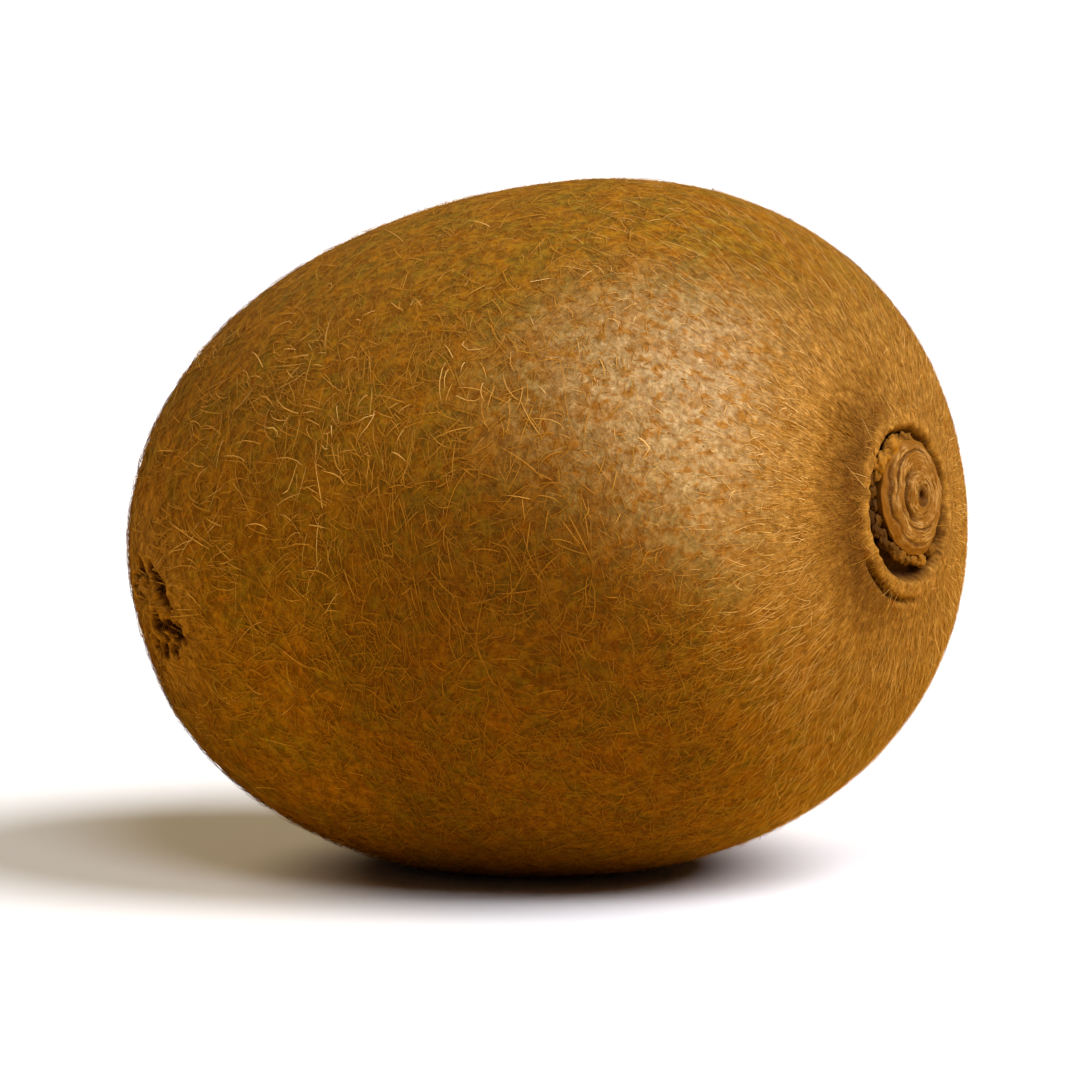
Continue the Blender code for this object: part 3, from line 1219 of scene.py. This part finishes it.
def make_stub_material():
    material, tree = new_material("dried_stubs")
    patches, fine = grain(tree, millimetres(tree), 0.6, 0.11)
    color = blend_colors(tree, attribute(tree, "pale"), STUB_BROWN, STUB_LIGHT)
    # Broad random patches, and painted shade in the hollows of the fine grain.
    broad = between(tree, patches, 0, 0.6, 0.5, 0.0)
    shade = calculate(tree, "MAXIMUM", broad, between(tree, fine, 0, 0.5, 0.5, 0.0))
    color = blend_colors(tree, shade, color, STUB_DARK)
    rough = between(tree, fine, 0, 1, 0.6, 0.85)
    set_finish(tree, color, rough, STUB_GLOSS, fine, strength=0.6, depth=0.05)
    return material


stub_material = make_stub_material()
add_piece("stem_stubs", stem_stub_mesh, stub_material)
add_piece("blossom_stubs", blossom_stub_mesh, stub_material)

# %% [markdown]
# ## The fuzz
#
# Hair could be grown with hair curves, but the export keeps none, so every hair here is a small
# closed solid. One hair is a three-sided cone, cut into rings so that it can bend.

# %% One hair
HAIR_SIDES = 3


def make_hair_template(rings):
    """A unit cone along Z with evenly spaced rings, its root closed and its tip a point."""
    mesh_edit = bmesh.new()
    bmesh.ops.create_cone(
        mesh_edit, cap_ends=True, segments=HAIR_SIDES, radius1=1.0, radius2=0.0, depth=1.0,
        matrix=Matrix.Translation((0, 0, 0.5)),
    )
    for ring in range(1, rings):
        bmesh.ops.bisect_plane(
            mesh_edit, geom=mesh_edit.verts[:] + mesh_edit.edges[:] + mesh_edit.faces[:],
            plane_co=(0, 0, ring / rings), plane_no=(0, 0, 1),
        )
    return mesh_from(mesh_edit, "hair")


hair = make_hair_template(4)
print("a hair of 4 rings has", len(hair.polygons), "faces")

# %% [markdown]
# The hair is unrolled on its map: its sides lie next to each other, and the root's cap lies
# below them. The corners of the cap are the ones at height 0.

# %% Map of one hair
ON_CAP = 1e-6


def hair_map_place(point, middle, is_cap):
    """Where a corner of a side, or of the root's cap, lies on the hair's map."""
    if is_cap:
        return 0.5 + 0.4 * point[0], 0.06 + 0.05 * point[1]
    turn = math.atan2(point[1], point[0])
    off = (turn - middle + math.pi) % math.tau - math.pi if point[2] < 1 - ON_CAP else 0.0
    side = round(middle / math.tau * HAIR_SIDES - 0.5) + 0.5
    return (side + 0.9 * off / math.tau * HAIR_SIDES) / HAIR_SIDES, 0.14 + 0.84 * point[2]


def map_template(mesh):
    points = points_of(mesh)
    layer = mesh.uv_layers.new(name=MAP_NAME)
    for face in mesh.polygons:
        is_cap = all(points[vertex][2] < ON_CAP for vertex in face.vertices)
        middle = math.atan2(face.center.y, face.center.x) % math.tau
        for loop, vertex in zip(face.loop_indices, face.vertices):
            layer.data[loop].uv = hair_map_place(points[vertex], middle, is_cap)
    return mesh


print("corners on its map:", len(map_template(hair).uv_layers[MAP_NAME].data))
bpy.data.meshes.remove(hair)

# %% [markdown]
# An Array modifier repeats the hair, and its result is kept as one mesh. All the copies still
# lie in the same place, but their points come one hair after the other, so they can all be
# moved at once. Each copy gets a square of the map of its own.

# %% A row of hairs
def repeated(mesh, count):
    """The mesh of an Array of count copies, one after the other."""
    carrier = bpy.data.objects.new("hair_row", mesh)
    bpy.context.scene.collection.objects.link(carrier)
    row = carrier.modifiers.new("row", "ARRAY")
    row.count = count
    row.use_relative_offset = False
    row.use_merge_vertices = False
    graph = bpy.context.evaluated_depsgraph_get()
    made = bpy.data.meshes.new_from_object(carrier.evaluated_get(graph))
    bpy.data.objects.remove(carrier)
    return made


def spread_map(mesh, count):
    """Gives every hair its own square of the map."""
    layer = mesh.uv_layers[MAP_NAME]
    places = np.empty(len(mesh.loops) * 2)
    layer.data.foreach_get("uv", places)
    places = places.reshape(count, -1, 2)
    columns = math.ceil(math.sqrt(count))
    index = np.arange(count)
    corner = np.stack([index % columns, index // columns], -1)[:, None, :]
    layer.data.foreach_set("uv", ((places * 0.9 + 0.05 + corner) / columns).ravel())


print("rows are repeated with an Array")

# %% [markdown]
# Each hair is described by columns of numbers: its root's direction, the way it sets off, its
# length, how fast it turns, how far it lifts off the skin, how deep its root is sunk, its
# thickness and its shade. It walks over the skin from its root and turns as it goes, so it never
# dives into the fruit.

# %% Walk the hairs over the skin
HAIR_BOW = math.pi * 0.72  # how far a hair has arched over by its tip
MEAN_REACH = 0.5 * (HALF_LENGTH + HALF_HEIGHT)


def tangent_frame(directions):
    """Unit vectors at each direction: away from the stem, and sideways round the fruit."""
    side = unit(np.cross(np.array([1.0, 0.0, 0.0]), directions) + 1e-12)
    return unit(np.cross(side, directions)), side


def walk(hairs, rings):
    """Centre lines of the hairs as hairs by rings by xyz, and the outward directions."""
    way = hairs["root"]
    away, side = tangent_frame(way)
    heading = away * np.cos(hairs["heading"])[:, None] + side * np.sin(hairs["heading"])[:, None]
    step = hairs["length"] / rings / MEAN_REACH
    line, outs = [], []
    for ring in range(rings + 1):
        share = ring / rings
        lift = hairs["lift"] * math.sin(share * HAIR_BOW) - hairs["sunk"] * (1 - share) ** 4
        line.append(skin_points(way, scar_relief(way) + lift))
        outs.append(way)
        turn = hairs["curl"] * (1 + hairs["kink"] * math.cos(share * math.pi)) / rings
        heading = turned(heading, way, turn)
        way = unit(way + heading * step[:, None])
        heading = unit(heading - (heading * way).sum(-1, keepdims=True) * way)
    return np.stack(line, 1), np.stack(outs, 1)


print(f"a hair bows over {math.degrees(HAIR_BOW):.0f} degrees")

# %% [markdown]
# Growing a coat lays the row of cones along those lines. Dry hairs are flattened and lie on
# their flat side, and they taper to the tip. None goes through the table.

# %% Grow a coat of fuzz
HAIR_FLATNESS = 0.22
HAIR_TAPER = 0.75
TABLE_GAP = 0.01 * MM


def grow(name, hairs, rings, material):
    count = len(hairs["length"])
    template = map_template(make_hair_template(rings))
    place = points_of(template)
    ring = np.rint(place[:, 2] * rings).astype(int)
    spread = place[:, :2] / np.maximum(np.hypot(place[:, 0], place[:, 1]), 1e-9)[:, None]
    spread[ring == rings] = 0
    mesh = repeated(template, count)
    line, outs = walk(hairs, rings)
    shares = np.arange(rings + 1) / rings
    radius = hairs["radius"][:, None] * (1 - HAIR_TAPER * shares**1.5)
    line[..., 2] = np.maximum(line[..., 2], radius + TABLE_GAP)
    along = unit(np.gradient(line, axis=1))
    side = unit(np.cross(outs, along))
    up = np.cross(along, side) * HAIR_FLATNESS
    off = spread[None, :, :1] * side[:, ring] + spread[None, :, 1:] * up[:, ring]
    points = line[:, ring] + radius[:, ring, None] * off
    set_points(mesh, points.reshape(-1, 3))
    set_values(mesh, "along", np.tile(shares[ring], count))
    set_values(mesh, "shade", np.repeat(hairs["shade"], len(place)))
    spread_map(mesh, count)
    bpy.data.meshes.remove(template)
    return add_piece(name, mesh, material, smooth=False)


print("hairs are", HAIR_FLATNESS, "times as thick as wide")

# %% [markdown]
# Each hair is a little paler towards its tip, and no two hairs are quite the same tone. Its shade
# also carries painted shade from the place of its root, and for down on the worn patch a painted
# highlight. Hairs with a high shade are pale as straw. The web is glossy and orange, the down is
# dull, and the tufts are rusty.

# %% Hair materials
PALE_HAIR = (0.445, 0.248, 0.0720, 1.0)

# colour at the root, colour at the tip, roughness, gloss
HAIR_KINDS = {
    "wispy_hair": ((0.245, 0.097, 0.0040, 1.0), (0.350, 0.155, 0.0120, 1.0), 0.6, 0.12),
    "down": ((0.264, 0.109, 0.0120, 1.0), (0.390, 0.186, 0.0360, 1.0), 0.8, 0.05),
    "tufted_hair": ((0.210, 0.062, 0.0015, 1.0), (0.330, 0.115, 0.0040, 1.0), 0.8, 0.05),
}


def make_hair_material(name):
    root_color, tip_color, roughness, gloss = HAIR_KINDS[name]
    material, tree = new_material(name)
    shade = attribute(tree, "shade")
    color = blend_colors(tree, attribute(tree, "along"), root_color, tip_color)
    color = blend_colors(tree, between(tree, shade, 1.2, 1.9), color, PALE_HAIR)
    set_finish(tree, shaded(tree, color, shade), roughness, gloss)
    return material


WISP, DOWN, TUFT = (make_hair_material(name) for name in HAIR_KINDS)
print("hair materials:", ", ".join(HAIR_KINDS))

# %% [markdown]
# Roots are scattered by trial: a random direction is kept where a random number falls below the
# chance that a hair grows there. More tries are kept where the skin is further out, because the
# same angle covers more of it there. No hair grows on the flat spot.

# %% Scatter roots
FARTHEST = HALF_LENGTH * 1.05
CLEAR_OF_TABLE = 0.12 * MM


def scattered(random, count, chance):
    """Random root directions, evenly spread over the skin and thinned by chance."""
    kept = []
    found = 0
    while found < count:
        tries = unit(random.normal(size=(count * 2, 3)))
        reach = body_reach(leaned(tries)) / FARTHEST
        on_table = skin_points(tries, np.zeros(len(tries)))[:, 2] < CLEAR_OF_TABLE
        good = random.uniform(size=len(tries)) < reach**2 * chance(tries)
        good &= ~on_table
        kept.append(tries[good])
        found += int(good.sum())
    return np.concatenate(kept)[:count]


def clumps(directions, size, seed):
    """Uneven cover from 0 to 1, in clumps of about a size in mm."""
    random = np.random.default_rng(seed)
    total = np.zeros(len(directions))
    for _ in range(24):
        wave = unit(random.normal(size=3)) * random.uniform(0.6, 1.4) * math.pi * 27 / size
        total += np.cos(directions @ wave + random.uniform(0, math.tau))
    return swell(total / 3.5, -1, 1)


sample = clumps(from_polar(np.linspace(1, 2, 50), np.ones(50)), 2.4, 22)
print(f"cover along a line runs from {sample.min():.2f} to {sample.max():.2f}")

# %% [markdown]
# The coat differs from place to place. The blossom half wears a web of wispy hairs that lie
# every way. Towards the stem the coat is short, dense and combed away from the scar, and the
# wood, the trench and the pits are bare.

# %% What grows where
def on_skin(directions):
    """1 where hairs can grow: not on the wood, in the trench or in the pits."""
    bare = np.maximum(0.75 * blossom_pits(directions)[1], 0.9 * swell(furrow(directions), 0.2, 0.7))
    return swell(stem_place(directions), 5.95 * MM, 6.25 * MM) * (1 - bare)


def web_share(directions):
    """0 on the stem half, where the fuzz is combed down, and 1 where the wispy web is full."""
    return swell(polar_of(directions), math.radians(42), math.radians(92))


def down_share(directions):
    """1 round the stem end, where the coat is thick, and little elsewhere."""
    return swell(-from_stem(directions), -29 * MM, -9 * MM)


def short_chance(way, elsewhere):
    """For short coats: thick round the stem end, a share of that elsewhere, and thin where worn."""
    cover = elsewhere + (1 - elsewhere) * down_share(way)
    return on_skin(way) * cover * (1 - 0.75 * worn_and_highlight(way))


def comb(random, root, tidy, loose):
    """Headings: away from the stem near it, and every way in the web and at the collar."""
    ruffled = 0.5 * swell(-from_stem(root), -10 * MM, -6 * MM)
    spread = tidy + (loose - tidy) * np.maximum(web_share(root), ruffled)
    return random.uniform(-1, 1, len(root)) * spread


web_sample = web_share(from_polar(np.radians([30, 67, 120]), np.zeros(3)))
print("share of web at 30, 67 and 120 degrees from the stem:", np.round(web_sample, 2))

# %% [markdown]
# Every coat is a table of the same columns, so one function fills it from ranges in mm. A length
# may also be given for each hair. The shortest hairs are straight: a bend of 0 draws no random
# numbers. The shade comes last, and starts from the painted shade of the fruit at the root.

# %% Columns of a coat
def bends(random, amount, count):
    return random.normal(0, amount, count) if amount else np.zeros(count)


def coat(random, root, heading, length, curl, kink, lift, sunk, radius):
    count = len(root)
    if isinstance(length, tuple):
        length = random.uniform(*length, count)
    return {
        "root": root,
        "heading": heading,
        "length": length * MM,
        "curl": bends(random, curl, count),
        "kink": bends(random, kink, count),
        "lift": random.uniform(*lift, count) * MM,
        "sunk": np.full(count, sunk * MM),
        "radius": random.uniform(*radius, count) * MM,
        "shade": coat_shade(root),
    }


print("a coat has 9 columns")

# %% [markdown]
# ### Long pale strands
#
# The longest hairs stand out from the web. Most are 2 to 4.5 mm long, and the brightest are also
# the thickest. They grow in clumps, and there are fewer of them on top.

# %% Long pale strands
STRAND_COUNT, STRAND_RINGS = 8800, 4


def strand_chance(way):
    top = 1 - 0.6 * swell(way[:, 2], 0.45, 0.85)
    end = 0.7 + 0.3 * swell(polar_of(way), math.radians(95), math.radians(125))
    clump = 0.3 + 0.7 * clumps(way, 2.4, 22)
    return on_skin(way) * (0.05 + 0.95 * web_share(way)) * clump * top * end


random = np.random.default_rng(20)
root = scattered(random, STRAND_COUNT, strand_chance)
# Strands are paler at middle height and duller low down and on top; low down this is painted shade.
lit = swell(root[:, 2], -0.6, 0.2) - 0.6 * swell(root[:, 2], 0.5, 0.85)
bright = random.uniform(size=STRAND_COUNT) ** 1.6 * (0.30 + 0.70 * lit)
length = 1.2 + web_share(root) * random.gamma(3.0, 0.60, STRAND_COUNT)
heading = random.uniform(0, math.tau, STRAND_COUNT)
hairs = coat(
    random, root, heading, length,
    curl=0.8, kink=1.2, lift=(0.08, 0.30), sunk=0.06, radius=(0, 0.006),
)
hairs["radius"] += (0.034 + 0.022 * bright) * MM
hairs["shade"] *= (0.96 + 0.52 * bright) * random.lognormal(0.0, 0.13, STRAND_COUNT)
grow("fuzz_strands", hairs, STRAND_RINGS, WISP)

# %% [markdown]
# ### Thin wisps
#
# Between the strands lies a web of thinner, shorter hairs. It hides the skin of the blossom
# half, and only a few wisps lie near the stem.

# %% The thin web between the strands
WISP_COUNT, WISP_RINGS = 12000, 3


def wisp_chance(way):
    return on_skin(way) * (0.08 + 0.92 * web_share(way)) * (0.25 + 0.75 * clumps(way, 1.8, 23))


random = np.random.default_rng(21)
root = scattered(random, WISP_COUNT, wisp_chance)
heading = random.uniform(0, math.tau, WISP_COUNT)
hairs = coat(
    random, root, heading, length=(0.8, 2.6),
    curl=0.8, kink=0.9, lift=(0.05, 0.16), sunk=0.05, radius=(0.020, 0.036),
)
hairs["shade"] *= random.lognormal(-0.02, 0.20, WISP_COUNT)
grow("fuzz_wisps", hairs, WISP_RINGS, WISP)

# %% [markdown]
# ### Short down
#
# Round the stem end the hairs are short, pale and dense, and they are combed away from the
# scar. Down on the worn patch is thin, and what is left of it is painted paler: a painted highlight.

# %% Short down
DOWN_COUNT, DOWN_RINGS = 15000, 2
WORN_GLEAM = 0.45

random = np.random.default_rng(31)
root = scattered(random, DOWN_COUNT, lambda way: short_chance(way, 0.15))
hairs = coat(
    random, root, comb(random, root, 0.35, math.pi), length=(0.7, 1.9),
    curl=0.5, kink=0.5, lift=(0.03, 0.12), sunk=0.04, radius=(0.020, 0.034),
)
# Painted highlight: down on the worn patch is made paler.
hairs["shade"] *= (1 + WORN_GLEAM * worn_and_highlight(root)) * random.lognormal(0.0, 0.20, DOWN_COUNT)
grow("fuzz_down", hairs, DOWN_RINGS, DOWN)

# %% [markdown]
# ### Combed hairs
#
# Finer and longer hairs lie over the down, combed the same way. Most of them are on the low
# side, and the worn patch has lost many of them.

# %% Fine pale hairs combed away from the stem
COMBED_COUNT, COMBED_RINGS = 8500, 3


def combed_chance(way):
    near = swell(-from_stem(way), -42 * MM, -16 * MM)
    low = 0.35 + 0.65 * swell(-way[:, 2], -0.1, 0.5)
    return on_skin(way) * near * low * (1 - 0.8 * worn_and_highlight(way))


random = np.random.default_rng(61)
root = scattered(random, COMBED_COUNT, combed_chance)
hairs = coat(
    random, root, comb(random, root, 0.30, 1.2), length=(1.4, 3.4),
    curl=0.35, kink=0.8, lift=(0.08, 0.18), sunk=0.05, radius=(0.017, 0.026),
)
hairs["shade"] *= random.uniform(1.10, 1.80, COMBED_COUNT)
grow("fuzz_combed", hairs, COMBED_RINGS, WISP)

# %% [markdown]
# ### Velvet
#
# Under the down lies a velvet of very short, straight, thick hairs, packed round the stem end.
# It covers the gaps that the down leaves.

# %% Velvet
VELVET_COUNT = 23000

random = np.random.default_rng(41)
root = scattered(random, VELVET_COUNT, lambda way: short_chance(way, 0.06))
hairs = coat(
    random, root, comb(random, root, 0.3, math.pi), length=(0.35, 0.85),
    curl=0, kink=0, lift=(0.03, 0.10), sunk=0.03, radius=(0.026, 0.042),
)
# Painted highlight: velvet on the worn patch is made paler.
hairs["shade"] *= (1 + WORN_GLEAM * worn_and_highlight(root)) * random.lognormal(0.02, 0.16, VELVET_COUNT)
grow("fuzz_velvet", hairs, 1, DOWN)

# %% [markdown]
# ### Tufts
#
# Rusty flecks on the skin are bunches of short hairs. Each bunch has a middle, a heading and a
# size, and its hairs are scattered closely round the middle.

# %% Tufts
TUFT_COUNT, TUFT_SIZE = 2600, 8
TUFT_SPREAD = 0.13 * MM


def tuft_chance(way):
    return on_skin(way) * (1 - 0.6 * web_share(way)) * (1 - worn_and_highlight(way))


random = np.random.default_rng(51)
middles = scattered(random, TUFT_COUNT, tuft_chance)
heading = np.repeat(comb(random, middles, 1.1, math.pi), TUFT_SIZE)
size = np.repeat(random.uniform(0.6, 1.4, TUFT_COUNT), TUFT_SIZE)
root = np.repeat(middles, TUFT_SIZE, axis=0)
root = unit(root + random.normal(0, TUFT_SPREAD / STEM_REACH, root.shape))
heading += random.normal(0, 0.25, len(root))
hairs = coat(
    random, root, heading, length=(0.5, 1.0),
    curl=0, kink=0, lift=(0.03, 0.12), sunk=0.03, radius=(0.032, 0.050),
)
hairs["length"] *= size
hairs["radius"] *= size
hairs["shade"] *= random.lognormal(-0.02, 0.18, len(root))
grow("fuzz_tufts", hairs, 1, TUFT)

# %% [markdown]
# ## Floor and light
#
# The floor looks pale, but the light it throws back is warm, as if the fruit lay on wood. One
# material does both: it asks whether the ray that reached it comes from the camera.

# %% Floor
FLOOR_RADIUS = 30.0
FLOOR_COLOR = (0.79, 0.80, 0.85, 1.0)
FLOOR_BOUNCE = (0.97, 0.72, 0.15, 1.0)
FLOOR_ROUGHNESS = 0.9


def make_floor_material():
    material, tree = new_material("pale_floor")
    seen = add_node(tree, "ShaderNodeLightPath").outputs["Is Camera Ray"]
    set_finish(tree, blend_colors(tree, seen, FLOOR_BOUNCE, FLOOR_COLOR), FLOOR_ROUGHNESS, 0.0)
    return material


floor_edit = bmesh.new()
bmesh.ops.create_circle(floor_edit, cap_ends=True, segments=96, radius=FLOOR_RADIUS)
floor = add_object("floor", mesh_from(floor_edit, "floor"), make_floor_material())
print(f"floor {2 * FLOOR_RADIUS:.0f} m across")

# %% [markdown]
# Three lamps and a faint warm sky. The key lamp is high on the right, the front lamp fills the
# near side, and a warm rim lamp lights the far edge from the left. All of them are wide, which
# keeps the gloss on the skin broad and the edges of the shadows soft.

# %% Light
SKY_STRENGTH = 0.05
SKY_COLOR = (1.0, 0.85, 0.60, 1.0)

# shares of the way to the lamp (right, above, near), strength, spread in degrees, colour
LAMPS = {
    "key_lamp": ((0.65, 0.70, 0.28), 4.8, 40, (1.0, 0.99, 0.98)),
    "front_lamp": ((0.12, 0.70, 0.70), 1.05, 24, (1.0, 1.0, 1.0)),
    "rim_lamp": ((-0.58, 0.74, -0.30), 1.4, 40, (1.0, 0.80, 0.46)),
}


def add_lamp(name, shares, strength, spread, color):
    """A lamp so far away that it lights the whole floor evenly."""
    lamp_data = bpy.data.lights.new(name, "SUN")
    lamp_data.energy = strength
    lamp_data.angle = math.radians(spread)
    lamp_data.color = color
    lamp = bpy.data.objects.new(name, lamp_data)
    way = right * shares[0] + above * shares[1] + back * shares[2]
    lamp.rotation_mode = "QUATERNION"
    lamp.rotation_quaternion = way.to_track_quat("Z", "Y")
    bpy.context.scene.collection.objects.link(lamp)


for name, lamp_settings in LAMPS.items():
    add_lamp(name, *lamp_settings)

world = bpy.data.worlds.new("studio")
world.use_nodes = True
sky = world.node_tree.nodes["Background"]
sky.inputs["Color"].default_value = SKY_COLOR
sky.inputs["Strength"].default_value = SKY_STRENGTH
bpy.context.scene.world = world
bpy.context.scene.view_settings.view_transform = "Standard"
print("lamps:", ", ".join(LAMPS))
